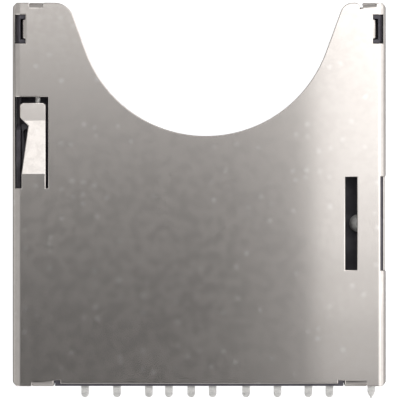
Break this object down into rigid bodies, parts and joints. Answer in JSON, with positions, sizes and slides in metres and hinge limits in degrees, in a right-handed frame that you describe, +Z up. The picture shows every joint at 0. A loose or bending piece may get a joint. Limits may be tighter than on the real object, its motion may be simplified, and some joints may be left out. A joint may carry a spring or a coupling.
{
  "type": "sd card socket",
  "caption": "Low push-push memory card socket: folded steel shell with a half-round thumb notch over a black base, sprung eject slider, solder tails along the rear.",
  "frame": {"origin": "on the board plane, under the middle of the shell in plan", "axes": "+Z up from the board, +Y towards the mouth where the card goes in, +X to the right seen from above"},
  "size_m": [0.029, 0.0308, 0.0038],
  "materials": {
    "sheet_steel": "satin rolled stainless sheet with faint mottling",
    "black_moulding": "fine matt moulded black plastic",
    "slider_moulding": "smooth black moulded plastic",
    "contact_strip": "tinned copper alloy strip, gilt on the contact zone",
    "spring_wire": "bright drawn spring wire"
  },
  "bodies": {
    "base": {"housing": "black_moulding", "cover_shell": "sheet_steel", "contact_1": "contact_strip", "contact_2": "contact_strip", "contact_3": "contact_strip", "contact_4": "contact_strip", "contact_5": "contact_strip", "contact_6": "contact_strip", "contact_7": "contact_strip", "contact_8": "contact_strip", "contact_9": "contact_strip", "card_detect_spring": "contact_strip", "write_protect_spring": "contact_strip", "eject_spring": "spring_wire"},
    "slider": {"eject_slider": "slider_moulding"},
    "pin": {"cam_pin": "spring_wire"}
  },
  "joints": [
    {"name": "eject_slide", "type": "slide", "parent": "base", "child": "slider", "axis": [0, -1, 0], "range_m": [0, 0.0045], "stiffness_N_per_m": 100, "springref_m": -0.006, "deforming": ["eject_spring"]},
    {"name": "cam_pin_swing", "type": "hinge", "parent": "base", "child": "pin", "pos_m": [-0.01249, 0.0093, 0.0015], "axis": [0, 0, 1], "range_deg": [-4, 0.2]}
  ],
  "couplings": [
    {"joint": "cam_pin_swing", "follows": "eject_slide", "rad_per_m": -15.34}
  ]
}
